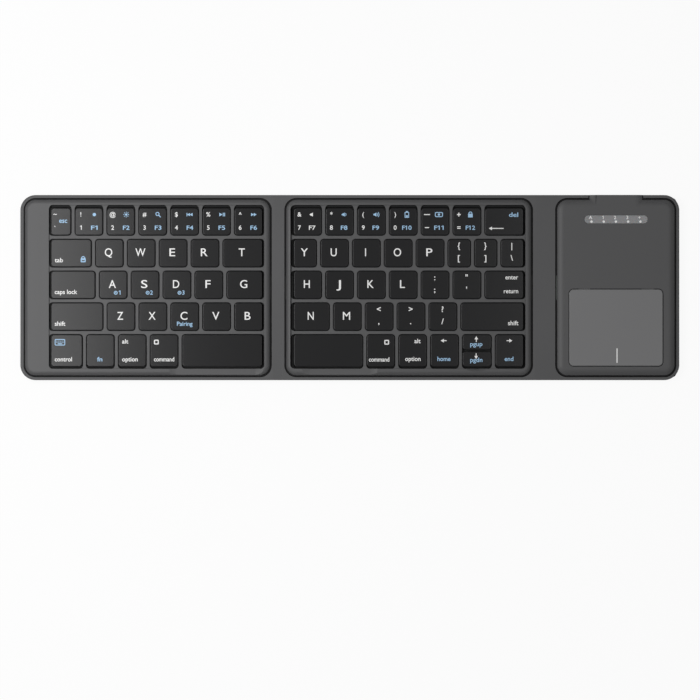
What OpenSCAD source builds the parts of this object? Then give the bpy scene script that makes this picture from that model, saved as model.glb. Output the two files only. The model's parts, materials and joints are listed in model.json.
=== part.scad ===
// Three-fold travel keyboard: two key panels and a touchpad panel, joined by two flexible spines.
// Millimetres. X runs along the open keyboard, +Y is the rear edge, z = 0 is its underside.

/* [Panels] */
// Width of the left key panel
left_w = 123.0; // [112:0.5:135]
// Width of the middle key panel
middle_w = 123.0; // [122:0.5:135]
// Width of the touchpad panel
pad_w = 59.4; // [57:0.2:70]
// Depth of every panel, front to rear
panel_d = 88.4; // [86:0.2:100]
// Corner radius of a panel
panel_r = 5.6; // [4.6:0.1:7]
// Width of the flat lip around the panels
lip_w = 2.0; // [1.5:0.1:3.5]
// Width of the thin dark groove around each bezel
groove = 0.4; // [0.2:0.05:0.5]

/* [Heights] */
// Height of the raised back of a panel
back_h = 2.2; // [2:0.1:4]
// Width of the raised back's soft edge
back_edge_w = 3.2; // [2.8:0.1:4]
// Thickness of the leather
leather_t = 0.6; // [0.4:0.05:0.8]
// Thickness of a tray's flange, between leather and lining
flange_t = 0.8; // [0.6:0.1:1.2]
// Thickness of the lining
lining_t = 0.4; // [0.3:0.05:0.6]
// Height of the bezels above the lining
rim_h = 1.6; // [1.4:0.1:2.4]
// Glue line between a cover and its tray
glue_gap = 0.05; // [0.02:0.01:0.1]
// Distance from the lining's edge to the leather's edge
lining_edge = 0.1; // [0.05:0.05:0.5]

/* [Folds] */
// Flat strip beside each crease of the left spine
left_flat = 2.0; // [1:0.1:3]
// Flat strip between the right spine and the touchpad panel
pad_flat = 0.7; // [0.5:0.1:2]
// Gap between two faces that lie on each other when folded
fold_clearance = 0.2; // [0.15:0.05:0.6]
// Gap between the left panel's free edge and the right spine when folded
end_clearance = 0.3; // [0.2:0.05:1]
// Slit at each crease, along the fold line
crease_gap = 0.1; // [0.06:0.02:0.2]
// Width of the ribbon cable inside a spine
ribbon_w = 12.0; // [6:0.5:20]
// Thickness of the ribbon cable
ribbon_t = 0.15; // [0.1:0.05:0.2]
// Width of the ribbon cable where it runs beside the battery
flex_w = 3.0; // [2:0.1:3]

/* [Trays] */
// Thickness of a tray's floor
tray_floor_t = 0.8; // [0.6:0.1:1.2]
// Thickness of a tray's wall
tray_wall_t = 0.8; // [0.6:0.1:1]
// Thickness of the steel plate under the keys
plate_t = 0.5; // [0.3:0.05:0.6]
// Length of a closing magnet
magnet_l = 14.0; // [8:0.5:20]
// Distance of a closing magnet from the panel's middle line
magnet_y = 26.0; // [15:0.5:30]
// Thickness of the switch sheet on the steel plate
sheet_t = 0.4; // [0.2:0.05:0.5]
// Gap between a tray's wall and what lies in it
nest_gap = 0.3; // [0.1:0.05:0.5]

/* [Bezels] */
// Width of a key bezel's soft outer edge
bezel_edge_w = 2.2; // [1.2:0.1:2.8]
// Height of a key bezel's soft outer edge
bezel_edge_h = 1.3; // [0.8:0.1:1.3]
// Thickness of the webs between the keys
web_t = 0.9; // [0.6:0.1:1.1]
// Width of the webs between the keys
web_w = 1.5; // [1:0.1:1.7]
// Depth of the key field below the rim
well_h = 0.9; // [0.5:0.1:1]
// Corner radius of the key field
well_r = 3.0; // [1.5:0.1:4]

/* [Keys] */
// Distance from key to key along a row
key_pitch = 15.9; // [15:0.1:16.2]
// Distance from row to row
row_pitch = 15.85; // [15:0.05:16]
// Depth of the number row, gap included
number_row_d = 15.6; // [13:0.1:16]
// Depth of the front row, gap included
front_row_d = 18.05; // [14:0.05:18.5]
// Gap between two keys
key_gap = 2.0; // [1.9:0.05:2.4]
// Corner radius of a key
key_r = 1.6; // [1:0.1:2]
// Height of a keycap
cap_h = 1.8; // [1.6:0.1:2.2]
// Thickness of a keycap's top and walls
cap_t = 0.8; // [0.6:0.05:1]
// Depth of a keycap's top below the rim
cap_drop = 0.1; // [0.05:0.05:0.3]
// Travel of a key
key_travel = 1.2; // [0.6:0.1:1.2]
// Width of the escape key, gap included
esc_w = 12.0; // [10:0.1:13]
// Width of the tab key, gap included
tab_w = 22.2; // [18:0.1:24]
// Width of the caps lock key, gap included
caps_w = 24.1; // [20:0.1:26]
// Width of the left shift key, gap included
left_shift_w = 28.0; // [24:0.1:29]
// Width of the control key, gap included
control_w = 17.7; // [15:0.1:20]
// Width of the Y key, gap included
y_key_w = 13.4; // [12:0.1:15]
// Width of a bracket key, gap included
bracket_w = 13.2; // [12:0.1:14]
// Width of the enter key, gap included
enter_w = 21.2; // [20:0.1:23]
// Width of the N key, gap included
n_key_w = 19.8; // [17:0.1:22]
// Width of the right space bar, gap included
right_space_w = 36.5; // [30:0.1:38]
// Width of the up and down arrow keys, gap included
arrow_w = 16.4; // [15:0.1:18]
// Gap between the up and down arrow keys
arrow_gap = 0.8; // [0.6:0.1:1.5]
// Rim between the panel's left edge and the left key field, over the magnets
left_rim_w = 12.4; // [9:0.1:18]
// Bezel between the left key field and the panel's right edge
left_field_margin = 3.2; // [2.6:0.1:4]
// Bezel between the middle key field and the panel's left edge
middle_field_margin = 3.1; // [2.6:0.1:4]
// Bezel between the middle key field and the panel's right edge
middle_end_margin = 3.3; // [2.6:0.1:4]
// Bezel in front of the key fields
front_margin = 3.7; // [3.2:0.1:4.5]
// Bezel behind the key fields
rear_margin = 3.5; // [3.1:0.1:4.5]

/* [Space bar scoops] */
// Length of the left scoop in the front rim
left_scoop_w = 47.0; // [30:0.5:55]
// Distance from the left scoop to the panel's right edge
left_scoop_x = 3.6; // [3.2:0.1:6]
// Length of the middle scoop in the front rim
middle_scoop_w = 37.5; // [25:0.5:45]
// Distance from the middle scoop to the panel's left edge
middle_scoop_x = 8.4; // [3.2:0.1:12]
// Length of a scoop's sloped end
scoop_slope = 4.0; // [2:0.1:8]
// Length of the thumb notch under the down arrow key
notch_w = 12.4; // [8:0.1:14]
// Depth of the thumb notch into the front rim
notch_d = 1.6; // [0.8:0.1:2]

/* [Touchpad] */
// Width of the touchpad's opening
touch_w = 47.3; // [40:0.1:48]
// Depth of the touchpad's opening
touch_d = 38.8; // [30:0.1:42]
// Corner radius of the touchpad's opening
touch_r = 2.5; // [1.5:0.1:4]
// Distance from the touchpad's opening to the panel's front edge
touch_front = 4.8; // [4.6:0.1:8]
// Gap around the touchpad
touch_gap = 0.25; // [0.15:0.05:0.5]
// Thickness of the touchpad
touch_t = 1.2; // [0.9:0.1:1.4]
// Depth of the touchpad's face below the housing
touch_drop = 0.1; // [0:0.05:0.3]
// Length of the two tongues that hold the touchpad's rear edge
tongue_w = 6.0; // [4:0.5:8]
// Travel of the touchpad's front edge before its stop
touch_travel = 0.55; // [0.5:0.05:0.7]
// Thickness of the touchpad housing's top
housing_t = 0.8; // [0.6:0.1:1]
// Width of the touchpad housing's soft outer edge
housing_edge_w = 3.5; // [2:0.1:4]

/* [Touchpad electronics] */
// Length of the indicator window
window_w = 31.7; // [24:0.1:36]
// Width of the indicator window
window_d = 4.2; // [3:0.1:6]
// Distance from the indicator window's centre line to the panel's rear edge
window_rear = 10.2; // [9:0.1:14]
// Distance between two indicator lights
light_pitch = 6.1; // [4:0.1:6.4]
// Width of the raised block that holds the charging socket
port_w = 26.4; // [16:0.2:32]
// Width of the charging socket's shell
usb_w = 8.94; // [8.9:0.01:9]
// Height of the charging socket's shell
usb_h = 3.26; // [3.2:0.01:3.3]
// Thickness of the charging socket's shell
usb_t = 0.3; // [0.25:0.05:0.35]
// Length of the charging socket
usb_l = 7.3; // [6.5:0.1:8]
// Thickness of the circuit board
board_t = 0.8; // [0.6:0.1:1]
// Length of the circuit board
board_w = 44.0; // [36:0.5:46]
// Width of the circuit board
board_d = 14.0; // [12:0.5:15]
// Length of the battery
battery_w = 44.0; // [30:0.5:44]
// Width of the battery
battery_d = 21.0; // [15:0.5:22]
// Thickness of the battery
battery_h = 2.8; // [2:0.1:3]

/* [Hidden] */
KEY_NODES = [
    "key_a", "key_b", "key_c", "key_d", "key_e", "key_f", "key_g", "key_h", "key_i",
    "key_j", "key_k", "key_l", "key_m", "key_n", "key_o", "key_p", "key_q", "key_r",
    "key_s", "key_t", "key_u", "key_v", "key_w", "key_x", "key_y", "key_z",
    "left_space_bar", "right_space_bar", "left_number_keys", "left_side_keys",
    "middle_number_keys", "middle_side_keys"
];
$fn = 64;
eps = 0.01;

// Levels, from the underside up
lip_z = back_h;
flange_z = lip_z + leather_t;
lining_z = flange_z + flange_t;
fold_z = lining_z + lining_t;
rim_z = fold_z + rim_h;
floor_z = leather_t + tray_floor_t;
sheet_z = floor_z + plate_t;
dome_z = sheet_z + sheet_t;
web_z = rim_z - well_h;
cap_z = rim_z - cap_drop - cap_h;
boss_z = rim_z - cap_drop - key_travel - 0.2;
strap_leather_z = lining_z - leather_t;

// Spine widths between fold lines: what lies between the two faces, plus a clearance
left_spine_w = 2 * rim_h + fold_clearance;
right_spine_w = left_spine_w + fold_z + rim_h + fold_clearance;
middle_flat = lip_w + end_clearance;

// Places along X, from the left end
left_gap = 2 * left_flat + left_spine_w;
right_gap = middle_flat + right_spine_w + pad_flat;
total_w = 2 * lip_w + left_w + left_gap + middle_w + right_gap + pad_w;
total_d = panel_d + 2 * lip_w;
outer_x = total_w / 2;
left_x = -outer_x + lip_w;
middle_x = left_x + left_w + left_gap;
pad_x = middle_x + middle_w + right_gap;
fold_x = [
    left_x + left_w + left_flat, middle_x - left_flat,
    middle_x + middle_w + middle_flat, pad_x - pad_flat
];
pad_mid = pad_x + pad_w / 2;

// Insides
half_slit = crease_gap / 2;
cavity_inset = back_edge_w + tray_wall_t;
turn_in = leather_t + glue_gap;
bezel_h = rim_z - lining_z;
touch_y = -panel_d / 2 + touch_front + touch_d / 2;
touch_z = rim_z - touch_drop - touch_t;
tongue_x = touch_w / 3;
tongue_y = touch_y + touch_d / 2 - touch_gap + 0.5;
window_y = panel_d / 2 - window_rear;
port_z = floor_z;
usb_z = (port_z + rim_z) / 2;
board_z = usb_z - usb_h / 2 + 0.2;
board_y = panel_d / 2 - cavity_inset - nest_gap - board_d / 2;

// Key fields: the room that each panel leaves inside its rims
left_field_x = left_x + left_rim_w;
middle_field_x = middle_x + middle_field_margin;
left_field_w = left_w - left_rim_w - left_field_margin;
middle_field_w = middle_w - middle_field_margin - middle_end_margin;
field_d = panel_d - front_margin - rear_margin;
field_rear = panel_d / 2 - rear_margin;

// The keys' own sizes, and the ratios that spread them over that room; each is 1 where they fill it as they are
left_keys_w = esc_w + 6 * key_pitch;
middle_keys_w = 6 * key_pitch + enter_w;
keys_d = number_row_d + 3 * row_pitch + front_row_d;
left_fit = left_field_w / left_keys_w;
middle_fit = middle_field_w / middle_keys_w;
row_ds = field_d / keys_d * [number_row_d, row_pitch, row_pitch, row_pitch, front_row_d];

// Each row is a list of [node, width], from left to right, rear row first

function filled(cells, name, w) = concat(cells, [[name, w - total([for (c = cells) c[1]])]]);
function total(list, n = undef) =
    let (count = is_undef(n) ? len(list) : n) count == 0 ? 0 : list[count - 1] + total(list, count - 1);
function same(name, widths) = [for (w = widths) [name, w]];
function spread(rows, ratio) = [for (row = rows) [for (c = row) [c[0], c[1] * ratio]]];
function letters(names) = [for (name = names) [str("key_", name), key_pitch]];

LEFT_ROWS = spread([
    same("left_number_keys", concat([esc_w], [for (i = [1:6]) key_pitch])),
    filled(concat(same("left_side_keys", [tab_w]), letters("qwer")), "key_t", left_keys_w),
    filled(concat(same("left_side_keys", [caps_w]), letters("asdf")), "key_g", left_keys_w),
    filled(concat(same("left_side_keys", [left_shift_w]), letters("zxcv")), "key_b", left_keys_w),
    filled(same("left_side_keys", concat([control_w], [for (i = [1:3]) key_pitch])),
        "left_space_bar", left_keys_w)
], left_fit);
MIDDLE_ROWS = spread([
    same("middle_number_keys", concat([for (i = [1:6]) key_pitch], [enter_w])),
    filled(concat([["key_y", y_key_w]], letters("uiop"),
        same("middle_side_keys", [bracket_w, bracket_w])), "middle_side_keys", middle_keys_w),
    filled(concat(letters("hjkl"), same("middle_side_keys", [key_pitch, key_pitch])),
        "middle_side_keys", middle_keys_w),
    filled(concat([["key_n", n_key_w]], letters("m"),
        same("middle_side_keys", [for (i = [1:3]) key_pitch])), "middle_side_keys", middle_keys_w),
    filled(concat([["right_space_bar", right_space_w]],
        same("middle_side_keys", [for (i = [1:3]) key_pitch]), [["arrow_pair", arrow_w]]),
        "middle_side_keys", middle_keys_w)
], middle_fit);

// One key's place: [node, centre x, centre y, width, depth], gap included
function places(rows, x) = [
    for (r = [0:len(rows) - 1], i = [0:len(rows[r]) - 1])
        let (
            w = rows[r][i][1],
            cx = x + total([for (c = rows[r]) c[1]], i) + w / 2,
            cy = field_rear - total(row_ds, r) - row_ds[r] / 2,
            half_d = (row_ds[r] - key_gap - arrow_gap) / 2 + key_gap
        )
        each rows[r][i][0] != "arrow_pair" ? [[rows[r][i][0], cx, cy, w, row_ds[r]]]
            : [for (side = [-1, 1]) ["middle_side_keys", cx, cy + side * (row_ds[r] - half_d) / 2, w, half_d]]
];
LEFT_KEYS = places(LEFT_ROWS, left_field_x);
MIDDLE_KEYS = places(MIDDLE_ROWS, middle_field_x);

// The openings in a web, one per place in the rows, grown to the field's edge where the key is an outer one
function openings(rows, x) = [
    for (r = [0:len(rows) - 1], i = [0:len(rows[r]) - 1])
        let (
            start = x + total([for (c = rows[r]) c[1]], i),
            rear = field_rear - total(row_ds, r),
            x0 = start + (i == 0 ? 0 : web_w / 2),
            x1 = start + rows[r][i][1] - (i == len(rows[r]) - 1 ? 0 : web_w / 2),
            y1 = rear - (r == 0 ? 0 : web_w / 2),
            y0 = rear - row_ds[r] + (r == len(rows) - 1 ? 0 : web_w / 2)
        )
        [(x0 + x1) / 2, (y0 + y1) / 2, x1 - x0, y1 - y0]
];

function arc_radius(w, h) = (w * w + h * h) / (2 * h);

// Flat rectangle with four round corners, centred
module rounded(w, d, r) {
    square([w - 2 * r, d], center = true);
    square([w, d - 2 * r], center = true);
    for (sx = [-1, 1], sy = [-1, 1])
        translate([sx * (w / 2 - r), sy * (d / 2 - r)])
            circle(r);
}

// Flat outline of the whole strip from x0 to x1, moved in by inset, with round corners at an outer end
module strip(x0, x1, inset) {
    r = panel_r + lip_w - inset;
    d = total_d - 2 * inset;
    intersection() {
        rounded(total_w - 2 * inset, d, r);
        translate([x0, -total_d])
            square([x1 - x0, 2 * total_d]);
    }
}

// Right half of an upright section whose top outer corner is a tangent arc
module soft_section(reach, h, edge_w, edge_h) {
    r = arc_radius(edge_w, edge_h);
    square([reach - edge_w, h]);
    if (h > edge_h + eps)
        square([reach, h - edge_h]);
    intersection() {
        translate([reach - edge_w, h - r])
            circle(r, $fn = 96);
        translate([reach - edge_w, h - edge_h])
            square([edge_w, edge_h]);
    }
}

// Rounded block with a soft top edge, standing on z = 0
module pillow(w, d, h, corner_r, edge_w, edge_h) {
    flat_w = w - 2 * corner_r;
    flat_d = d - 2 * corner_r;
    for (side = [0, 180]) {
        rotate([0, 0, side])
            translate([0, flat_d / 2, 0])
                rotate([90, 0, 0])
                    linear_extrude(flat_d)
                        soft_section(w / 2, h, edge_w, edge_h);
        rotate([0, 0, side + 90])
            translate([0, flat_w / 2, 0])
                rotate([90, 0, 0])
                    linear_extrude(flat_w)
                        soft_section(d / 2, h, edge_w, edge_h);
    }
    for (sx = [0, 1], sy = [0, 1])
        mirror([sx, 0, 0])
            mirror([0, sy, 0])
                translate([flat_w / 2, flat_d / 2, 0])
                    rotate_extrude(angle = 90)
                        soft_section(corner_r, h, edge_w, edge_h);
}

// A panel's raised back, moved in by the leather's thickness and a further gap
module raised_back(w, skin, gap) {
    r = arc_radius(back_edge_w, back_h) - skin;
    edge_w = sqrt(r * r - pow(r - back_h, 2));
    inset = back_edge_w - edge_w + gap;
    translate([0, 0, skin + back_h])
        mirror([0, 0, 1])
            pillow(w - 2 * inset, panel_d - 2 * inset, back_h, panel_r - inset, edge_w, back_h);
}

// Block that clears a panel's inside, from z = z0 to z1
module cavity(w, z0, z1) {
    translate([0, 0, z0])
        linear_extrude(z1 - z0)
            rounded(w - 2 * cavity_inset, panel_d - 2 * cavity_inset, key_r);
}

// Block around the charging socket, at a panel's rear edge
module port_block(gap) {
    y0 = panel_d / 2 - cavity_inset - eps;
    translate([-port_w / 2 - gap, y0, port_z])
        cube([port_w + 2 * gap, total_d / 2 - y0 + gap, rim_z]);
}

// The housing's rear tab over the charging socket, with the housing's own soft edges
module port_tab()
    translate([0, total_d / 2, port_z])
        rotate([90, 0, 0])
            linear_extrude(lip_w + cavity_inset + eps)
                for (side = [0, 1])
                    mirror([side, 0])
                        soft_section(port_w / 2, rim_z - port_z, housing_edge_w, bezel_edge_h);

module ribbon_bar(xa, xb, z0, z1, gap)
    translate([min(xa, xb), -ribbon_w / 2 - gap, z0])
        cube([abs(xb - xa), ribbon_w + 2 * gap, z1 - z0]);

// A ribbon tail from inside a panel's cavity, up its wall and along the tray's top to a crease
module tail(edge, end, low_z) {
    s = sign(end - edge);
    riser_x = edge + s * nest_gap;
    ribbon_bar(edge - s, riser_x + s * ribbon_t, low_z, low_z + ribbon_t, 0);
    ribbon_bar(riser_x, riser_x + s * ribbon_t, low_z, lining_z, 0);
    ribbon_bar(riser_x, end, lining_z - ribbon_t, lining_z, 0);
}

// The slot in a tray that clears such a tail
module tail_slot(edge, end) {
    s = sign(end - edge);
    riser_x = edge + s * nest_gap;
    ribbon_bar(edge - s * eps, riser_x + s * (ribbon_t + nest_gap), floor_z, lining_z + eps, nest_gap);
    ribbon_bar(riser_x, end + s, lining_z - ribbon_t, lining_z + eps, nest_gap);
}

module cover(x, w, x0, x1, has_port = false) color("#1f2022") difference() {
    union() {
        translate([0, 0, lip_z])
            linear_extrude(leather_t)
                strip(x0, x1, 0);
        translate([0, 0, lip_z])
            linear_extrude(lining_z - lip_z)
                difference() {
                    strip(x0, x1, 0);
                    strip(x0 - eps, x1 + eps, leather_t);
                }
        translate([x + w / 2, 0, 0])
            raised_back(w, 0, 0);
    }
    translate([x + w / 2, 0, 0])
        raised_back(w, leather_t, 0);
    if (has_port)
        translate([x + w / 2, 0, 0])
            port_block(glue_gap);
}

module tray(x, w, x0, x1, tails, has_port = false) color("#3a3b3d") difference() {
    union() {
        difference() {
            union() {
                translate([0, 0, flange_z])
                    linear_extrude(flange_t)
                        strip(x0, x1, turn_in);
                translate([x + w / 2, 0, 0])
                    raised_back(w, leather_t, glue_gap);
            }
            translate([x + w / 2, 0, 0])
                cavity(w, floor_z, fold_z);
        }
        if (has_port)
            touch_posts();
    }
    for (end = tails)
        tail_slot(end < x ? x + cavity_inset : x + w - cavity_inset, end);
    if (has_port)
        translate([x + w / 2, 0, 0])
            port_block(glue_gap);
}

// Two posts under the touchpad's tongues, and the stop under its front edge
module touch_posts() {
    for (side = [-1, 1])
        translate([pad_mid + side * tongue_x - 2, tongue_y - 0.8, floor_z - eps])
            cube([4, 1.6, touch_z - 0.05 - floor_z + eps]);
    translate([pad_mid, touch_y - touch_d / 2 + 3, floor_z - eps])
        cylinder(h = touch_z - touch_travel - floor_z + eps, r = 2, $fn = 32);
}

module lining(x, w, x0, x1, has_port = false) color("#5c5c5d") difference() {
    translate([0, 0, lining_z])
        linear_extrude(lining_t)
            difference() {
                strip(x0, x1, lining_edge);
                translate([x + w / 2, 0])
                    rounded(w, panel_d, panel_r);
            }
    if (has_port)
        translate([x + w / 2, 0, 0])
            port_block(groove);
}

module spine_cover(x0, x1) color("#1f2022") difference() {
    translate([0, 0, strap_leather_z])
        linear_extrude(leather_t)
            strip(x0, x1, 0);
    ribbon_bar(x0 - eps, x1 + eps, lining_z - ribbon_t, lining_z + eps, nest_gap);
}

module spine_lining(x0, x1) color("#5c5c5d")
    translate([0, 0, lining_z])
        linear_extrude(lining_t)
            strip(x0, x1, lining_edge);

module ribbon(x0, x1) color("#b8732e")
    ribbon_bar(x0, x1, lining_z - ribbon_t, lining_z, 0);

module bezel(x, w, field_x, field_w, rows, scoop_x, scoop_w, notch_x = undef) color("#555556") difference() {
    translate([x + w / 2, 0, lining_z])
        pillow(w - 2 * groove, panel_d - 2 * groove, bezel_h, panel_r - groove, bezel_edge_w, bezel_edge_h);
    translate([field_x + field_w / 2, field_rear - field_d / 2, web_z])
        linear_extrude(bezel_h)
            rounded(field_w, field_d, well_r);
    for (o = openings(rows, field_x))
        translate([o[0], o[1], lining_z - eps])
            linear_extrude(bezel_h)
                rounded(o[2], o[3], key_r + (key_gap - web_w) / 2);
    translate([x + w / 2, 0, 0])
        cavity(w, lining_z - eps, web_z - web_t);
    scoop(scoop_x, scoop_w);
    if (!is_undef(notch_x))
        notch(notch_x);
}

// Cut that lowers the front rim to the webs, with sloped ends
module scoop(x, w)
    translate([x, -panel_d / 2 + front_margin, 0])
        rotate([90, 0, 0])
            linear_extrude(front_margin)
                polygon([
                    [0, rim_z + eps], [scoop_slope, web_z],
                    [w - scoop_slope, web_z], [w, rim_z + eps]
                ]);

// Sloped round notch in the front rim, centred on x
module notch(x) {
    r = arc_radius(notch_w / 2, notch_d);
    translate([x, field_rear - field_d + r - notch_d, web_z])
        cylinder(h = rim_z - web_z + eps, r1 = r - notch_d, r2 = r, $fn = 96);
}

module plate(x, w) color("#8c8f92")
    translate([x + w / 2, 0, floor_z])
        linear_extrude(plate_t)
            rounded(w - 2 * (cavity_inset + nest_gap), panel_d - 2 * (cavity_inset + nest_gap), key_r);

// Switch sheet with one rubber dome under each key, and its ribbon tails
module switches(x, w, field_x, field_w, keys, tails) color("#3c4a44") {
    translate([0, 0, sheet_z])
        linear_extrude(sheet_t)
            intersection() {
                translate([field_x, field_rear - field_d])
                    square([field_w, field_d]);
                translate([x + w / 2, 0])
                    rounded(w - 2 * (cavity_inset + nest_gap), panel_d - 2 * (cavity_inset + nest_gap), key_r);
            }
    for (end = tails)
        tail(end < x ? x + cavity_inset : x + w - cavity_inset, end, sheet_z);
    for (k = keys)
        translate([k[1], k[2], dome_z - eps])
            cylinder(h = boss_z - dome_z + eps, r1 = dome_r(k), r2 = dome_r(k) * 0.55);
}

function dome_r(k) = min(3, (k[4] - key_gap) / 2 - cap_t - 0.4);

// Keycap with a hollow underside and a boss that stands on its dome
module keycap(k) {
    w = k[3] - key_gap;
    d = k[4] - key_gap;
    translate([k[1], k[2], cap_z]) {
        difference() {
            pillow(w, d, cap_h, key_r, 0.5, 0.4);
            translate([0, 0, -eps])
                linear_extrude(cap_h - cap_t + eps)
                    rounded(w - 2 * cap_t, d - 2 * cap_t, key_r - cap_t);
        }
        translate([0, 0, boss_z - cap_z])
            cylinder(h = cap_h - cap_t / 2 - boss_z + cap_z, r = dome_r(k) * 0.6);
    }
}

module keys(name) color("#3f4042")
    for (k = concat(LEFT_KEYS, MIDDLE_KEYS))
        if (k[0] == name)
            keycap(k);

module magnets() color("#a9abad") {
    strip_x = left_x + cavity_inset + nest_gap;
    strip_w = left_field_x - strip_x - nest_gap;
    for (side = [-1, 1])
        translate([strip_x, side * magnet_y - magnet_l / 2, sheet_z])
            cube([strip_w, magnet_l, web_z - web_t - sheet_z - 0.1]);
}

module pad_housing() color("#525253") translate([pad_mid, 0, 0]) difference() {
    union() {
        translate([0, 0, lining_z])
            pillow(pad_w - 2 * groove, panel_d - 2 * groove, bezel_h, panel_r - groove,
                housing_edge_w, bezel_edge_h);
        port_tab();
    }
    cavity(pad_w, lining_z - eps, rim_z - housing_t);
    translate([0, touch_y, 0])
        linear_extrude(2 * rim_z)
            rounded(touch_w, touch_d, touch_r);
    translate([0, window_y, 0])
        linear_extrude(2 * rim_z)
            rounded(window_w, window_d, window_d / 2 - eps);
    translate([0, total_d / 2, usb_z])
        rotate([90, 0, 0])
            translate([0, 0, -1])
                linear_extrude(usb_l + 2)
                    rounded(usb_w + 0.2, usb_h + 0.2, usb_h / 2);
}

module touchpad() color("#6b6b6c") {
    translate([pad_mid, touch_y, touch_z])
        pillow(touch_w - 2 * touch_gap, touch_d - 2 * touch_gap, touch_t, touch_r - touch_gap, 0.4, 0.3);
    for (side = [-1, 1])
        translate([pad_mid + side * tongue_x - tongue_w / 2, tongue_y - 1.5, touch_z])
            cube([tongue_w, 3, touch_t - housing_t]);
}

module indicator_window() color("#8a8a8b") translate([pad_mid, window_y, 0]) {
    translate([0, 0, rim_z - housing_t - 0.3])
        linear_extrude(housing_t + 0.2)
            rounded(window_w - 0.2, window_d - 0.2, window_d / 2 - 0.12);
    translate([0, 0, rim_z - housing_t - 0.5])
        linear_extrude(0.5 - 2 * eps)
            rounded(window_w + 2, window_d + 2, window_d / 2);
}

module pad_board() color("#1f5d3a") {
    flex_x = pad_x + cavity_inset + nest_gap;
    tail(pad_x + cavity_inset, fold_x[3] + half_slit, board_z);
    translate([flex_x, -ribbon_w / 2, board_z])
        cube([flex_w, board_y - board_d / 2 + ribbon_w / 2 + 2, ribbon_t]);
    translate([flex_x, board_y - board_d / 2, board_z])
        cube([pad_mid - board_w / 2 - flex_x + 1, 2, ribbon_t]);
    translate([pad_mid, board_y, board_z])
        difference() {
            translate([-board_w / 2, -board_d / 2, 0])
                cube([board_w, board_d, board_t]);
            translate([-usb_w / 2 - 0.1, board_d / 2 - 4.6, -1])
                cube([usb_w + 0.2, 10, 3]);
        }
    for (i = [-2:2])
        translate([pad_mid + i * light_pitch - 0.8, window_y - 0.4, board_z + board_t - eps])
            cube([1.6, 0.8, 0.6]);
}

module usb_socket() color("#b4b6b8") translate([pad_mid, total_d / 2 - 0.2, usb_z]) rotate([90, 0, 0]) {
    difference() {
        linear_extrude(usb_l)
            rounded(usb_w, usb_h, usb_h / 2 - eps);
        translate([0, 0, -1])
            linear_extrude(usb_l + 0.4)
                rounded(usb_w - 2 * usb_t, usb_h - 2 * usb_t, usb_h / 2 - usb_t - eps);
    }
    translate([-3.35, -0.35, 1])
        cube([6.7, 0.7, usb_l - 1.3]);
}

module battery() color("#9aa0a6")
    translate([pad_mid, board_y - board_d / 2 - 1 - battery_d / 2, floor_z])
        linear_extrude(battery_h)
            rounded(battery_w, battery_d, 1.5);

cover(left_x, left_w, -outer_x, fold_x[0] - half_slit);  // left_cover
cover(middle_x, middle_w, fold_x[1] + half_slit, fold_x[2] - half_slit);  // middle_cover
cover(pad_x, pad_w, fold_x[3] + half_slit, outer_x, true);  // pad_cover
spine_cover(fold_x[0] + half_slit, fold_x[1] - half_slit);  // left_spine_cover
spine_cover(fold_x[2] + half_slit, fold_x[3] - half_slit);  // right_spine_cover
lining(left_x, left_w, -outer_x, fold_x[0] - half_slit);  // left_lining
lining(middle_x, middle_w, fold_x[1] + half_slit, fold_x[2] - half_slit);  // middle_lining
lining(pad_x, pad_w, fold_x[3] + half_slit, outer_x, true);  // pad_lining
spine_lining(fold_x[0] + half_slit, fold_x[1] - half_slit);  // left_spine_lining
spine_lining(fold_x[2] + half_slit, fold_x[3] - half_slit);  // right_spine_lining
tray(left_x, left_w, -outer_x, fold_x[0] - half_slit, [fold_x[0] - half_slit]);  // left_tray
tray(middle_x, middle_w, fold_x[1] + half_slit, fold_x[2] - half_slit,  // middle_tray
        [fold_x[1] + half_slit, fold_x[2] - half_slit]);
tray(pad_x, pad_w, fold_x[3] + half_slit, outer_x, [fold_x[3] + half_slit], true);  // pad_tray
bezel(left_x, left_w, left_field_x, left_field_w, LEFT_ROWS,  // left_bezel
        left_x + left_w - left_scoop_x - left_scoop_w, left_scoop_w);
bezel(middle_x, middle_w, middle_field_x, middle_field_w, MIDDLE_ROWS,  // middle_bezel
        middle_x + middle_scoop_x, middle_scoop_w,
        middle_field_x + right_space_w + 3 * key_pitch + arrow_w / 2);
pad_housing();
plate(left_x, left_w);  // left_plate
plate(middle_x, middle_w);  // middle_plate
switches(left_x, left_w, left_field_x, left_field_w, LEFT_KEYS, [fold_x[0] - half_slit]);  // left_switches
switches(middle_x, middle_w, middle_field_x, middle_field_w, MIDDLE_KEYS,  // middle_switches
        [fold_x[1] + half_slit, fold_x[2] - half_slit]);
ribbon(fold_x[0] + half_slit, fold_x[1] - half_slit);  // left_ribbon
ribbon(fold_x[2] + half_slit, fold_x[3] - half_slit);  // right_ribbon
magnets();
touchpad();
indicator_window();
pad_board();
usb_socket();
battery();
for (name = KEY_NODES)
    keys(name);
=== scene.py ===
"""Three-fold travel keyboard.

A leather-covered wallet with a grey lining, two moulded key bezels, printed keys and a touchpad."""

import json
import math

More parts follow.
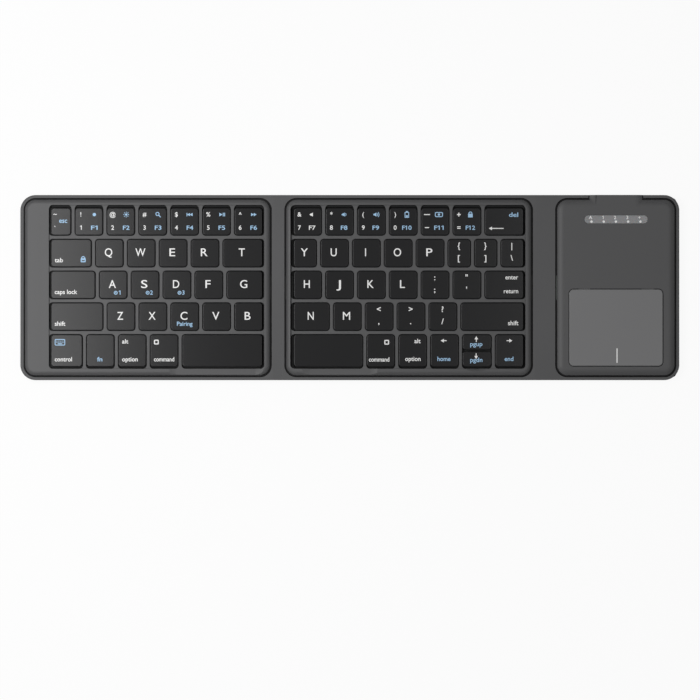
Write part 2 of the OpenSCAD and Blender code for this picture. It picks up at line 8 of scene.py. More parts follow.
import bmesh
import bpy
from mathutils import Matrix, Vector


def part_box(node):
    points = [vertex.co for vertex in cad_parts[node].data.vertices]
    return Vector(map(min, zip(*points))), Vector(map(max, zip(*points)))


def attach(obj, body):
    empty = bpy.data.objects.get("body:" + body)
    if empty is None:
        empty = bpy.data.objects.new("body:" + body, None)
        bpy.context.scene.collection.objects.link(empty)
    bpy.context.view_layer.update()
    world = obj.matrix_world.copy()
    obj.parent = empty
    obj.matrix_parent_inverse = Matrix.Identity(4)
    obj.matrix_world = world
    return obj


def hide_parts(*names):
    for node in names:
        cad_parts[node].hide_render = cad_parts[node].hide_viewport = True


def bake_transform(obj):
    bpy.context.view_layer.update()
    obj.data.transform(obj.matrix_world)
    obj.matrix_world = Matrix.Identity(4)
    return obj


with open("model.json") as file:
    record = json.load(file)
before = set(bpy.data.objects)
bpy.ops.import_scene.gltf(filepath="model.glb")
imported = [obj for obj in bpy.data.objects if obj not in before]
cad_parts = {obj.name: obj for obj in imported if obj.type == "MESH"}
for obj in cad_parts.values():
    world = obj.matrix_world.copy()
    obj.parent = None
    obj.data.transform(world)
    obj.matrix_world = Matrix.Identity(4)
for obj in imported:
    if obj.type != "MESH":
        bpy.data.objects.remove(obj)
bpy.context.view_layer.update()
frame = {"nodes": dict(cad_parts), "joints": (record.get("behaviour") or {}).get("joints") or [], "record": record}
# One millimetre in metres; shapes are drawn in millimetres and turned to metres last
MM = 0.001

# Levels of the wallet and its inserts, in millimetres from the underside
LIP_Z = 2.2
FLANGE_Z = 2.8
STRAP_Z = 3.0
LINING_Z = 3.6
FOLD_Z = 4.0
WEB_Z = 4.7
RIM_Z = 5.6
FLOOR_Z = -0.3

# The leather: its thickness, its outer corners and lip, and the slope round each raised back
LEATHER = 0.6
PANEL_R = 5.6
LIP = 2.0
BACK_EDGE_W = 3.2
CORNER_ROLL = 0.45
# How far a leather piece is drawn past its ends before it is cut to length
BEYOND = 20.0
# The opening in the leather's rear edge for the housing's tab
PORT_W = 26.5
PORT_D = 6.0
# Half the width that bends at a crease, and how far from a crease the pieces meet on flat leather
BEND = 0.7
FLAT = BEND + 0.1

# The lining: the groove round each insert, how far the cut edge stands back from it, how round that edge
# and the other edges are, and how far from the groove a face still belongs to the cut edge, painted black as shade
GROOVE = 0.4
CUT_BACK = 0.2
CUT_EDGE_R = 0.36
LINING_R = 0.14
BESIDE = 0.7
# How close to a crease the lining's solids end, and how level a face of the lining is that isn't an edge
CREASE_GAP = 0.1
FLAT_SLOPE = 0.99

# The mouldings: how round their edges are, how far below the webs' tops the rounding begins, and how far
# below the rim the film is cut off
MOULDED_R = 0.12
WEB_SKIP = 0.05
FILM = 0.015
# A face this close to upright is a wall, as far out as WALL_Y; walls are painted black as shade
WALL_SLOPE = 0.35
WALL_Y = 43.9
# How far a key well is stretched at its left and rear, how far inside the keys' outline the stretch begins,
# over what width and depth it grows, and how far outside the keys it still holds
WELL_X = 0.6
WELL_Y = 0.5
STRETCH_INSIDE = 0.5
STRETCH_W = 1.5
STRETCH_D = 1.3
WELL_REACH = 1.1
# The thin corners between wells and scoops lie this close to the left seam, in front of this line
SCOOP_CORNER_X = 9.2
SCOOP_CORNER_Y = -40.2
# The ends of the scoops' slopes
LEFT_SCOOP = (-90.1, -86.1, -47.1, -43.1)
MIDDLE_SCOOP = (-23.7, -19.7, 9.8, 13.8)

# The print: the height of the ink over its key, of each stroke over the last, and how many strokes rise so
INK = 0.02
STROKE = 0.001
MOST_STROKES = 12
WHITE, BLUE = 0, 1

# Points closer than MERGE are one point, and lengths closer than NEAR are equal
MERGE = 0.001
NEAR = 0.01


# ---------------------------------------------------------------- materials


def linear(hex_colour):
    """An sRGB hex colour as a linear RGBA list."""
    parts = [int(hex_colour[i : i + 2], 16) / 255 for i in (1, 3, 5)]
    return [c / 12.92 if c <= 0.04045 else ((c + 0.055) / 1.055) ** 2.4 for c in parts] + [1.0]


def add(tree, kind, settings=None, links=None):
    """Adds one node.

    A setting or link goes to the input of that name or number, or else to the node's own property."""
    node = tree.nodes.new(kind)
    for key, value in (settings or {}).items():
        if isinstance(key, int) or key in node.inputs:
            node.inputs[key].default_value = value
        else:
            setattr(node, key, value)
    for key, source in (links or {}).items():
        tree.links.new(source, node.inputs[key])
    return node


def finish_of(name, shader, colours, grain_mm, depth_mm, bump, rough, patch_mm=60.0, cells=False):
    """A material with two close tones in soft patches, and a grain that bumps it and varies its roughness.

    shader holds the values set on the surface itself, colours the two tones, grain_mm the size of one grain,
    depth_mm its height, bump its strength and rough the least and most roughness."""
    material = bpy.data.materials.new(name)
    material.use_nodes = True
    tree = material.node_tree
    tree.nodes.clear()
    place = add(tree, "ShaderNodeTexCoord").outputs["Object"]
    patches = add(
        tree, "ShaderNodeTexNoise", {"Scale": 1000 / patch_mm, "Detail": 3.0}, {"Vector": place}
    )
    tones = add(
        tree,
        "ShaderNodeMix",
        {"data_type": "RGBA", 6: linear(colours[0]), 7: linear(colours[1])},
        {0: patches.outputs["Fac"]},
    )
    if cells:
        grain = add(
            tree, "ShaderNodeTexVoronoi", {"Scale": 1000 / grain_mm, "Randomness": 0.9}, {"Vector": place}
        ).outputs["Distance"]
    else:
        grain = add(
            tree, "ShaderNodeTexNoise", {"Scale": 1000 / grain_mm, "Detail": 2.0}, {"Vector": place}
        ).outputs["Fac"]
    raised = add(
        tree, "ShaderNodeBump", {"Strength": bump, "Distance": depth_mm * MM}, {"Height": grain}
    )
    roughness = add(
        tree, "ShaderNodeMapRange", {"To Min": rough[0], "To Max": rough[1]}, {"Value": grain}
    )
    surface = add(
        tree,
        "ShaderNodeBsdfPrincipled",
        shader,
        {
            "Base Color": tones.outputs[2],
            "Roughness": roughness.outputs["Result"],
            "Normal": raised.outputs["Normal"],
        },
    )
    add(tree, "ShaderNodeOutputMaterial", links={"Surface": surface.outputs["BSDF"]})
    return material


# Black PU leather, pressed from a grained roller: fine pebbles with a soft satin top.
# The real pebbles are 0.5 mm; drawn at 0.9 mm so that they show.
leather = finish_of(
    "pu_leather_pebbled", {"IOR": 1.5, "Specular IOR Level": 0.45}, ("#1b1b1d", "#232325"),
    0.9, 0.12, 0.7, (0.62, 0.42), 40, cells=True,
)
# Grey microfibre-backed PU lining: matt, with a faint nap of 0.2 mm, drawn at 0.35 mm.
lining = finish_of(
    "microfibre_lining", {"IOR": 1.45, "Sheen Weight": 0.08, "Sheen Roughness": 0.5}, ("#5b5b5c", "#616162"),
    0.35, 0.03, 0.35, (0.75, 0.9), 35,
)
# PC-ABS bezels, moulded in a spark-eroded tool and sprayed with soft-touch paint: matt, with a fine sand of
# 0.15 mm, drawn at 0.3 mm.
bezel_paint = finish_of(
    "soft_touch_pc_abs", {"IOR": 1.46, "Specular IOR Level": 0.5}, ("#535354", "#575758"),
    0.3, 0.02, 0.3, (0.46, 0.56), 50,
)
# The same resin, black and dull, down the walls of the wells, openings and grooves: painted shade, darkening the
# recesses where shadow falls.
painted_shade_walls = finish_of(
    "black_pc_abs_painted_shade", {"IOR": 1.5, "Specular IOR Level": 0.2}, ("#0c0c0c", "#0f0f0f"),
    0.3, 0.02, 0.3, (0.6, 0.75), 50,
)
# The lining's cut edge in black: painted shade, darkening the groove round each insert where shadow falls.
painted_groove_shade = finish_of(
    "lining_cut_edge_shade", {"IOR": 1.48, "Specular IOR Level": 0.2}, ("#0d0d0d", "#111111"),
    0.3, 0.02, 0.3, (0.6, 0.75), 20,
)
# ABS keycaps, moulded in an etched tool: dark charcoal with a low sheen that follows the light.
keycap_abs = finish_of(
    "etched_abs_keycap", {"IOR": 1.53, "Specular IOR Level": 0.27}, ("#232324", "#262627"),
    0.3, 0.008, 0.15, (0.2, 0.26), 45,
)
# The touchpad's polycarbonate sheet with a frosted hard coat: smooth, a little lighter than its housing.
touch_sheet = finish_of(
    "frosted_polycarbonate", {"IOR": 1.58, "Specular IOR Level": 0.5}, ("#757576", "#79797a"),
    0.4, 0.006, 0.2, (0.42, 0.5), 60,
)
# The housing round the touchpad: the bezels' own paint, lightened one shade as painted light, to make up for the
# lamps' light falling off towards the pad.
housing_paint = finish_of(
    "soft_touch_housing", {"IOR": 1.46, "Specular IOR Level": 0.5}, ("#545455", "#585859"),
    0.3, 0.02, 0.3, (0.46, 0.56), 50,
)
# The indicator window: smoked polycarbonate with a diffusing back, which scatters the lights.
window_pc = finish_of(
    "diffusing_polycarbonate", {"IOR": 1.58, "Subsurface Weight": 0.2, "Subsurface Scale": 0.001},
    ("#828284", "#8b8b8d"), 0.8, 0.004, 0.1, (0.18, 0.25), 6,
)
# Glass-filled PC-ABS trays, left as moulded: dark and matt.
tray_plastic = finish_of(
    "moulded_pc_abs_tray", {"IOR": 1.5, "Specular IOR Level": 0.3}, ("#121213", "#171718"),
    0.4, 0.03, 0.4, (0.6, 0.75), 30,
)
# Cold-rolled steel plate: bright, with fine rolling marks.
steel = finish_of(
    "cold_rolled_steel", {"Metallic": 1.0}, ("#8d9092", "#9a9d9f"), 0.25, 0.01, 0.4, (0.3, 0.42), 12,
)
# Silicone domes on their printed sheet: waxy, and darkened to nearly black as painted shade for the gaps round the
# keys, where the sheet shows.
domes_darkened_as_shade = finish_of(
    "dome_sheet_darkened_as_shade", {"IOR": 1.43, "Subsurface Weight": 0.1, "Subsurface Scale": 0.0005},
    ("#0a0c0b", "#0e110f"), 0.5, 0.01, 0.2, (0.45, 0.6), 20,
)
# Polyimide ribbon: amber film over copper tracks 0.5 mm apart.
polyimide = finish_of(
    "polyimide_ribbon", {"IOR": 1.7, "Coat Weight": 0.3, "Coat Roughness": 0.1}, ("#a4632a", "#bb7a35"),
    0.5, 0.01, 0.2, (0.2, 0.3), 3,
)
# Nickel-plated magnets: pale warm metal, slightly clouded.
nickel_magnet = finish_of(
    "nickel_plated_magnet", {"Metallic": 1.0}, ("#a9a8a3", "#b7b6b1"), 0.4, 0.004, 0.2, (0.2, 0.32), 8,
)
# The charging socket's drawn steel shell under bright nickel.
nickel_shell = finish_of(
    "nickel_plated_steel_shell", {"Metallic": 1.0}, ("#b1b3b5", "#c2c4c6"), 0.2, 0.003, 0.3, (0.2, 0.3), 4,
)
# Glass-epoxy board under a solder mask so dark a green that it reads as black, with the weave just showing.
solder_mask = finish_of(
    "solder_mask_board", {"IOR": 1.55, "Coat Weight": 0.4, "Coat Roughness": 0.2}, ("#0a1a11", "#0d2116"),
    0.6, 0.01, 0.3, (0.3, 0.4), 5,
)
# The battery's aluminium-laminate pouch: dull silver film.
pouch_foil = finish_of(
    "aluminium_laminate_pouch", {"Metallic": 0.8}, ("#979ca1", "#a7abaf"), 2.0, 0.03, 0.4, (0.35, 0.5), 10,
)
# Pad-printed inks, cured matt and slightly rough at 0.1 mm, drawn at 0.2 mm.
white_ink = finish_of(
    "white_print_ink", {"IOR": 1.48}, ("#fafaf8", "#ffffff"), 0.2, 0.004, 0.2, (0.5, 0.6), 5,
)
blue_ink = finish_of(
    "blue_print_ink", {"IOR": 1.48}, ("#a3cdf0", "#b0d5f4"), 0.2, 0.004, 0.2, (0.5, 0.6), 5,
)


# ---------------------------------------------------------------- shaping in millimetres


def cut(bm, at, facing, away=False, geom=None):
    """Cuts the mesh, or part of it, along a plane, and takes away what lies on its facing side if asked."""
    bmesh.ops.bisect_plane(
        bm, geom=geom or bm.verts[:] + bm.edges[:] + bm.faces[:], dist=1e-4,
        plane_co=at, plane_no=facing, clear_outer=away,
    )


def to_piece(bm, name, materials, body=None, sharp=35):
    """Turns a bmesh in millimetres into a smooth-shaded piece; edges over that angle stay sharp."""
    bm.transform(Matrix.Scale(MM, 4))
    mesh = bpy.data.meshes.new(name)
    bm.to_mesh(mesh)
    bm.free()
    for face in mesh.polygons:
        face.use_smooth = True
    mesh.set_sharp_from_angle(angle=math.radians(sharp))
    for material in materials:
        mesh.materials.append(material)
    piece = bpy.data.objects.new(name, mesh)
    bpy.context.scene.collection.objects.link(piece)
    if body:
        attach(piece, body)
    return piece


def level_shading(piece):
    """Keeps the shading of large flat faces flat beside their rounded edges."""
    evened = piece.modifiers.new("flat_faces_first", "WEIGHTED_NORMAL")
    evened.keep_sharp = True
    evened.weight = 100


def mm_box(node):
    """The low and high corner of a CAD node's box in millimetres."""
    low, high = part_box(node)
    return low / MM, high / MM


def merged(*nodes):
    """One bmesh of those CAD solids in millimetres, their loose triangles merged into flat faces."""
    bm = bmesh.new()
    for node in nodes:
        bm.from_mesh(frame["nodes"][node].data)
    bm.transform(Matrix.Scale(1 / MM, 4))
    bmesh.ops.remove_doubles(bm, verts=bm.verts, dist=MERGE)
    bmesh.ops.dissolve_limit(bm, angle_limit=math.radians(0.5), verts=bm.verts, edges=bm.edges)
    return bm


def soften(bm, above, offset, steps, least, chosen):
    """Rounds the chosen edges: level, convex, above that height and turning by more than the least angle."""
    edges = [
        e
        for e in bm.edges
        if len(e.link_faces) == 2
        and chosen(e)
        and e.is_convex
        and all(v.co.z > above for v in e.verts)
        and abs(e.verts[0].co.z - e.verts[1].co.z) < NEAR
        and e.calc_face_angle() > math.radians(least)
    ]
    bmesh.ops.bevel(
        bm, geom=edges, offset=offset, offset_type="OFFSET", affect="EDGES", segments=steps,
        profile=0.5, material=-1, clamp_overlap=False,
    )


def rounded_face(bm, x, y, z, w, d, r, steps):
    """A flat face with four round corners."""
    corners = bmesh.ops.create_grid(
        bm, x_segments=1, y_segments=1, size=0.5,
        matrix=Matrix.Translation((x, y, z)) @ Matrix.Diagonal((w, d, 1, 1)),
    )["verts"]
    made = bmesh.ops.bevel(
        bm, geom=corners, offset=r, offset_type="OFFSET", affect="VERTICES", segments=steps,
        profile=0.5, material=-1,
    )
    return made["verts"][0].link_faces[0]


def raise_face(bm, face, dz):
    """Pulls a face up or down by dz and returns the face at its new level."""
    made = bmesh.ops.extrude_face_region(bm, geom=[face])["geom"]
    top = next(g for g in made if isinstance(g, bmesh.types.BMFace))
    bmesh.ops.translate(bm, vec=(0, 0, dz), verts=top.verts)
    return top


def step_in(bm, face, inward, dz):
    """Moves a face's outline inward and its level by dz, with a ring of faces left round it."""
    bmesh.ops.inset_region(bm, faces=[face], thickness=inward, depth=0, use_even_offset=True)
    bmesh.ops.translate(bm, vec=(0, 0, dz), verts=face.verts)


def skim(bm, level, top):
    """Cuts the mesh off at that level, closes it again and lifts the cut to the top."""
    cut(bm, (0, 0, level), (0, 0, 1), away=True)
    opened = [e for e in bm.edges if e.is_boundary]
    bmesh.ops.triangle_fill(bm, edges=opened, use_beauty=True, use_dissolve=True)
    for v in bm.verts:
        if v.co.z > level - MERGE:
            v.co.z = top


def columns(bm, xs):
    """Cuts the mesh across at each x."""
    for x in xs:
        cut(bm, (x, 0, 0), (1, 0, 0))


def keep_between(bm, x0, x1):
    """Cuts away what lies outside x0 to x1 and closes the two cuts."""
    for x, side in ((x0, -1), (x1, 1)):
        cut(bm, (x, 0, 0), (side, 0, 0), away=True)
    bmesh.ops.holes_fill(bm, edges=[e for e in bm.edges if e.is_boundary])


# ---------------------------------------------------------------- places

creases = {j["name"]: j["pos_m"][0] / MM for j in frame["joints"] if j["name"].endswith("_fold")}
CREASE = [creases[n] for n in ("left_panel_fold", "left_spine_fold", "right_spine_fold", "pad_panel_fold")]
LEFT_SEAM = (CREASE[0] + CREASE[1]) / 2
RIGHT_SEAM = (CREASE[2] + CREASE[3]) / 2
OUTER_X = mm_box("pad_cover")[1].x
OUTER_Y = mm_box("pad_cover")[1].y
PANELS = {
    name: (mm_box(insert)[0].x - GROOVE, mm_box(insert)[1].x + GROOVE)
    for name, insert in (("left", "left_bezel"), ("middle", "middle_bezel"), ("pad", "pad_housing"))
}
PANEL_Y = mm_box("left_bezel")[1].y + GROOVE


def bend_columns(crease):
    """The places where a piece is cut across at a crease, at even steps from BEND before it to BEND after it."""
    return [crease + BEND * i / 4 for i in range(-4, 5)]


# ---------------------------------------------------------------- the wallet


def leather_skin(x0, x1, panel):
    """The outside of the leather from x0 to x1: rim, rolled corner, flat lip and a panel's raised back."""
    far0, far1 = max(x0 - BEYOND, -OUTER_X), min(x1 + BEYOND, OUTER_X)
    middle = (far0 + far1) / 2
    bm = bmesh.new()
    mouth = rounded_face(bm, middle, 0, LINING_Z, far1 - far0, 2 * OUTER_Y, PANEL_R + LIP, 12)
    level = raise_face(bm, mouth, LIP_Z + CORNER_ROLL - LINING_Z)
    bmesh.ops.delete(bm, geom=[mouth], context="FACES_ONLY")
    roll_down(bm, level, CORNER_ROLL, 0, 4)
    step_in(bm, level, LIP - CORNER_ROLL, 0)
    if panel:
        edges = PANELS[panel]
        for v in level.verts:
            v.co.x += edges[0] - far0 - LIP if v.co.x < middle else edges[1] - far1 + LIP
        r = (BACK_EDGE_W**2 + LIP_Z**2) / (2 * LIP_Z)
        roll_down(bm, level, r, math.asin((r - LIP_Z) / r), 10)
    return bm


def roll_down(bm, face, r, start, steps):
    """Rolls a face's outline inward and down on a radius, from that angle until it is level."""
    for i in range(steps):
        a, b = (start + (math.pi / 2 - start) * (i + k) / steps for k in (0, 1))
        step_in(bm, face, r * (math.cos(a) - math.cos(b)), r * (math.sin(a) - math.sin(b)))


def raise_spines(bm):
    """Lifts the leather to the lining along the two spines, in a smooth rise beside each crease."""
    for crease in CREASE:
        columns(bm, bend_columns(crease))
    for x0, x1 in (CREASE[:2], CREASE[2:]):
        for v in bm.verts:
            share = min(1.0, max(0.0, min(v.co.x - x0, x1 - v.co.x) / BEND))
            if v.co.z < FLANGE_Z:
                v.co.z += (STRAP_Z - LIP_Z) * share * share * (3 - 2 * share)


def open_port(bm):
    """Opens the leather's rear edge where the housing's tab passes through it."""
    low, high = mm_box("pad_housing")
    middle = (low.x + high.x) / 2

    def at_port(face):
        across = abs(face.calc_center_median().x - middle) < PORT_W / 2
        return across and all(v.co.y > OUTER_Y - PORT_D for v in face.verts)

    columns(bm, [middle - PORT_W / 2, middle + PORT_W / 2])
    passed = [f for f in bm.faces if at_port(f)]
    around = list({g for f in passed for g in (*f.verts, *f.edges)}) + passed
    cut(bm, (0, 0, low.z), (0, 0, 1), geom=around)
    gone = [f for f in bm.faces if f.calc_center_median().z > low.z and at_port(f)]
    bmesh.ops.delete(bm, geom=gone, context="FACES")


def wallet():
    """The leather in five pieces; each has one crease at most, and they meet on flat leather."""
    pieces = (
        (
            "left_leather", -OUTER_X, LEFT_SEAM, "left",
            ("left_cover", "left_spine_cover"), "left_panel", "left_spine", 0,
        ),
        (
            "left_spine_leather", LEFT_SEAM, CREASE[1] + FLAT, None,
            ("left_spine_cover",), "left_spine", "middle_panel", 1,
        ),
        (
            "middle_leather", CREASE[1] + FLAT, CREASE[2] - FLAT, "middle",
            ("middle_cover",), "middle_panel", None, None,
        ),
        (
            "right_spine_leather", CREASE[2] - FLAT, RIGHT_SEAM, None,
            ("middle_cover", "right_spine_cover"), "middle_panel", "right_spine", 2,
        ),
        (
            "pad_leather", RIGHT_SEAM, OUTER_X, "pad",
            ("right_spine_cover", "pad_cover"), "right_spine", "pad_panel", 3,
        ),
    )
    for name, x0, x1, panel, nodes, body, next_body, crease in pieces:
        bm = leather_skin(x0, x1, panel)
        raise_spines(bm)
        if panel == "pad":
            open_port(bm)
        for x, side in ((x0, -1), (x1, 1)):
            if abs(x) < OUTER_X:
                cut(bm, (x, 0, 0), (side, 0, 0), away=True)
        bmesh.ops.solidify(bm, geom=bm.faces[:], thickness=-LEATHER)
        bmesh.ops.remove_doubles(bm, verts=bm.verts, dist=MERGE)
        bmesh.ops.recalc_face_normals(bm, faces=bm.faces)
        piece = to_piece(bm, name, [leather], None if next_body else body)
        if next_body:
            x = CREASE[crease]
            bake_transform(piece)
        level_shading(piece)
        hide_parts(*nodes)


def beside_panel(item):
    """Whether an edge or face of the lining lies along the opening round a panel's insert."""
    return any(
        all(x0 - BESIDE < v.co.x < x1 + BESIDE and abs(v.co.y) < PANEL_Y + BESIDE for v in item.verts)
        for x0, x1 in PANELS.values()
    )


def away_from_panel(item):
    """Whether an edge of the lining lies anywhere else."""
    return not beside_panel(item)


def lining_piece(name, nodes, x0, x1, a, b, crease):
    """The grey lining from x0 to x1: the CAD solids joined at the crease, with softly rolled edges.

    Its opening round a panel's insert is cut back, and the cut edge is painted black as shade in the groove."""
    bm = merged(*nodes)
    for v in bm.verts:
        for fold in CREASE:
            if abs(v.co.x - fold) < CREASE_GAP:
                v.co.x = fold
    bmesh.ops.remove_doubles(bm, verts=bm.verts, dist=MERGE)
    inner = [f for f in bm.faces for fold in CREASE if all(abs(v.co.x - fold) < MERGE for v in f.verts)]
    bmesh.ops.delete(bm, geom=inner, context="FACES")
    for panel, (edge0, edge1) in PANELS.items():
        for v in bm.verts:
            if edge0 - NEAR < v.co.x < edge1 + NEAR and abs(v.co.y) < PANEL_Y + NEAR:
                v.co.y += math.copysign(CUT_BACK, v.co.y)
                if v.co.x > (edge0 + edge1) / 2:
                    v.co.x += CUT_BACK
                elif panel != "left":
                    v.co.x -= CUT_BACK
    soften(bm, FOLD_Z - NEAR, CUT_EDGE_R, 3, 60, beside_panel)
    soften(bm, FOLD_Z - NEAR, LINING_R, 2, 60, away_from_panel)
    if crease:
        columns(bm, bend_columns(crease))
    keep_between(bm, x0, x1)
    # The cut edge's faces take the black of painted shade.
    for face in bm.faces:
        if abs(face.normal.z) < FLAT_SLOPE and beside_panel(face):
            face.material_index = 1
    piece = to_piece(bm, name, [lining, painted_groove_shade], None if b else a, 40)
    if b:
        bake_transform(piece)
    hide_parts(*nodes)


def linings():
    """The lining in five pieces, which meet where the leather's pieces meet."""
    past_end = OUTER_X + 1
    pieces = (
        (
            "left_panel_lining", ("left_lining", "left_spine_lining"),
            -past_end, LEFT_SEAM, "left_panel", "left_spine", CREASE[0],
        ),
        (
            "left_crease_lining", ("left_spine_lining", "middle_lining"),
            LEFT_SEAM, CREASE[1] + FLAT, "left_spine", "middle_panel", CREASE[1],
        ),
        (
            "middle_panel_lining", ("middle_lining",),
            CREASE[1] + FLAT, CREASE[2] - FLAT, "middle_panel", None, None,
        ),
        (
            "right_crease_lining", ("middle_lining", "right_spine_lining"),
            CREASE[2] - FLAT, RIGHT_SEAM, "middle_panel", "right_spine", CREASE[2],
        ),
        (
            "pad_panel_lining", ("right_spine_lining", "pad_lining"),
            RIGHT_SEAM, past_end, "right_spine", "pad_panel", CREASE[3],
        ),
    )
    for piece in pieces:
        lining_piece(*piece)


# ---------------------------------------------------------------- bezels, housing and keys


def clear_of_scoop_corners(edge):
    """Whether an edge is clear of the thin corners between wells and scoops, too thin to round."""
    return not any(
        v.co.y < SCOOP_CORNER_Y and abs(v.co.x - LEFT_SEAM) < SCOOP_CORNER_X for v in edge.verts
    )


def moulded(node, name, body, materials, above=0, soft=0, across=()):
    """A CAD moulding, with its sharp edges above that height rounded; a second material, black as painted shade,
    goes on its walls.

    A key bezel is first skimmed of the film at its wells' corners, its wells are opened, and it is cut
    across at the ends of its scoop's slopes. Nothing stands above its own top afterwards."""
    bm = merged(node)
    if across:
        skim(bm, RIM_Z - FILM, RIM_Z)
        open_well(bm, node)
    columns(bm, across)
    top = max(v.co.z for v in bm.verts)
    if soft:
        soften(bm, above, soft, 2, 30, clear_of_scoop_corners)
    for v in bm.verts:
        v.co.z = min(v.co.z, top)
    # The walls take the second material: black, as painted shade in the wells, openings and grooves.
    if len(materials) > 1:
        bm.normal_update()
        for face in bm.faces:
            if abs(face.normal.z) < WALL_SLOPE and abs(face.calc_center_median().y) < WALL_Y:
                face.material_index = 1
    piece = to_piece(bm, name, materials, body, 30)
    level_shading(piece)
    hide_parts(node)


def open_well(bm, node):
    """Stretches the wells a little at the rear, and the middle ones at the left, to clear the caps."""
    keys_low, keys_high = mm_box(node.replace("bezel", "number_keys"))
    left_stretch = WELL_X if node == "middle_bezel" else 0
    for v in bm.verts:
        along = keys_low.x - WELL_REACH < v.co.x < keys_high.x + WELL_REACH
        if along and abs(v.co.y) < keys_high.y + WELL_REACH:
            left_share = (keys_low.x + STRETCH_INSIDE - v.co.x) / STRETCH_W
            rear_share = (v.co.y - keys_high.y + STRETCH_INSIDE) / STRETCH_D
            v.co.x -= left_stretch * max(0.0, min(1.0, left_share))
            v.co.y += WELL_Y * max(0.0, min(1.0, rear_share))


def islands(bm):
    """The loose parts of a bmesh, as lists of their vertices."""
    waiting, found = set(bm.verts), []
    while waiting:
        reached = [waiting.pop()]
        for v in reached:
            for e in v.link_edges:
                far = e.other_vert(v)
                if far in waiting:
                    waiting.discard(far)
                    reached.append(far)
        found.append(reached)
    return found


def key_places(node):
    """The centre, top, width and depth of each key in a node, rear row first and from left to right."""
    bm = merged(node)
    found = []
    for key in islands(bm):
        x0, y0, _ = [min(v.co[i] for v in key) for i in range(3)]
        x1, y1, top = [max(v.co[i] for v in key) for i in range(3)]
        found.append(((x0 + x1) / 2, (y0 + y1) / 2, top, x1 - x0, y1 - y0))
    bm.free()
    return sorted(found, key=lambda k: (-round(k[1], 1), k[0]))


# ---------------------------------------------------------------- printing


def stroke_place(bm, x, y, turn):
    """The place of the next stroke, just above the last ones, so that no two faces of the print coincide."""
    z = STROKE * min(MOST_STROKES, len(bm.faces))
    return Matrix.Translation((x, y, z)) @ Matrix.Rotation(math.radians(turn), 4, "Z")


def bar(bm, x, y, w, h, turn=0):
    """A flat rectangle."""
    bmesh.ops.create_grid(
        bm, x_segments=1, y_segments=1, size=0.5,
        matrix=stroke_place(bm, x, y, turn) @ Matrix.Diagonal((w, h, 1, 1)),
    )


def disc(bm, x, y, r, sides=20, turn=0):
    """A flat disc, or a regular polygon of few sides."""
    return bmesh.ops.create_circle(
        bm, cap_ends=True, radius=r, segments=sides, matrix=stroke_place(bm, x, y, turn)
    )["verts"]


def hollow(bm, face, line):
    """Leaves only the outline of a flat face, as wide as the line."""
    bmesh.ops.inset_region(bm, faces=[face], thickness=line, use_even_offset=True, use_boundary=True)
    bmesh.ops.delete(bm, geom=[face], context="FACES_ONLY")


def ring(bm, x, y, r, line, sides=24):
    """A flat ring."""
    hollow(bm, disc(bm, x, y, r, sides)[0].link_faces[0], line)


def outline_box(bm, x, y, w, h, r, line):
    """The outline of a rectangle with round corners."""
    hollow(bm, rounded_face(bm, x, y, 0, w, h, r, 4), line)


def wedge(bm, x, y, r, turn):
    """A triangle that points along +X, turned by that angle."""
    disc(bm, x, y, r, 3, turn - 90)


def sun_icon(bm):
    disc(bm, 0, 0, 0.55)
    for i in range(8):
        a = math.pi / 4 * i
        bar(bm, 1.15 * math.cos(a), 1.15 * math.sin(a), 0.6, 0.3, math.degrees(a))


def glass_icon(bm):
    ring(bm, -0.3, 0.3, 1.0, 0.4)
    bar(bm, 0.85, -0.85, 1.3, 0.45, -45)


def back_icon(bm):
    bar(bm, -1.5, 0, 0.35, 1.7)
    wedge(bm, -0.5, 0, 0.95, 60)
    wedge(bm, 0.85, 0, 0.95, 60)


def play_icon(bm):
    wedge(bm, -0.7, 0, 1.05, 0)
    bar(bm, 0.7, 0, 0.4, 1.8)
    bar(bm, 1.4, 0, 0.4, 1.8)


def next_icon(bm):
    wedge(bm, -0.85, 0, 0.95, 0)
    wedge(bm, 0.5, 0, 0.95, 0)


def speaker_icon(bm):
    bar(bm, -0.75, 0, 0.6, 0.9)
    wedge(bm, -0.25, 0, 1.15, 60)


def sound_wave(bm, r):
    """The part of a ring that opens away from a speaker."""
    part = bmesh.new()
    ring(part, 0, 0, r, 0.32)
    behind = [f for f in part.faces if f.calc_center_median().x < 0.55 * r]
    bmesh.ops.delete(part, geom=behind, context="FACES")
    carry(part, bm)


def quieter_icon(bm):
    speaker_icon(bm)
    sound_wave(bm, 1.1)


def louder_icon(bm):
    quieter_icon(bm)
    sound_wave(bm, 1.8)


def battery_icon(bm):
    outline_box(bm, 0, -0.15, 2.2, 2.9, 0.35, 0.38)
    bar(bm, 0, 1.5, 1.0, 0.45)
    bar(bm, 0, -0.75, 1.0, 0.8)


def screen_icon(bm):
    outline_box(bm, 0, 0, 4.0, 2.5, 0.7, 0.42)
    disc(bm, 0, 0, 0.6)


def lock_icon(bm):
    bar(bm, 0, -0.5, 2.3, 1.8)
    ring(bm, 0, 0.55, 0.95, 0.4)


def dot_icon(bm):
    disc(bm, 0, 0, 0.85)


def padlock_icon(bm):
    outline_box(bm, 0, -0.35, 2.5, 2.0, 0.35, 0.55)
    ring(bm, 0, 0.7, 1.0, 0.42)


def keyboard_icon(bm):
    outline_box(bm, 0, 0, 5.2, 3.2, 0.6, 0.4)
    bar(bm, 0, -0.75, 2.2, 0.4)
    for row in (0, 1):
        for i in range(4):
            bar(bm, -1.5 + i, -0.05 + row * 0.65, 0.45, 0.38)


def link_icon(bm):
    ring(bm, 0, 0, 0.95, 0.36, 16)
    disc(bm, 0, 0, 0.32, 12)


def long_dash(bm):
    bar(bm, 0, 0, 3.0, 0.45)


def short_dash(bm):
    bar(bm, 0, 0, 2.1, 0.45)


def plus_sign(bm):
    bar(bm, 0, 0, 1.9, 0.5)
    bar(bm, 0, 0, 0.5, 1.9)


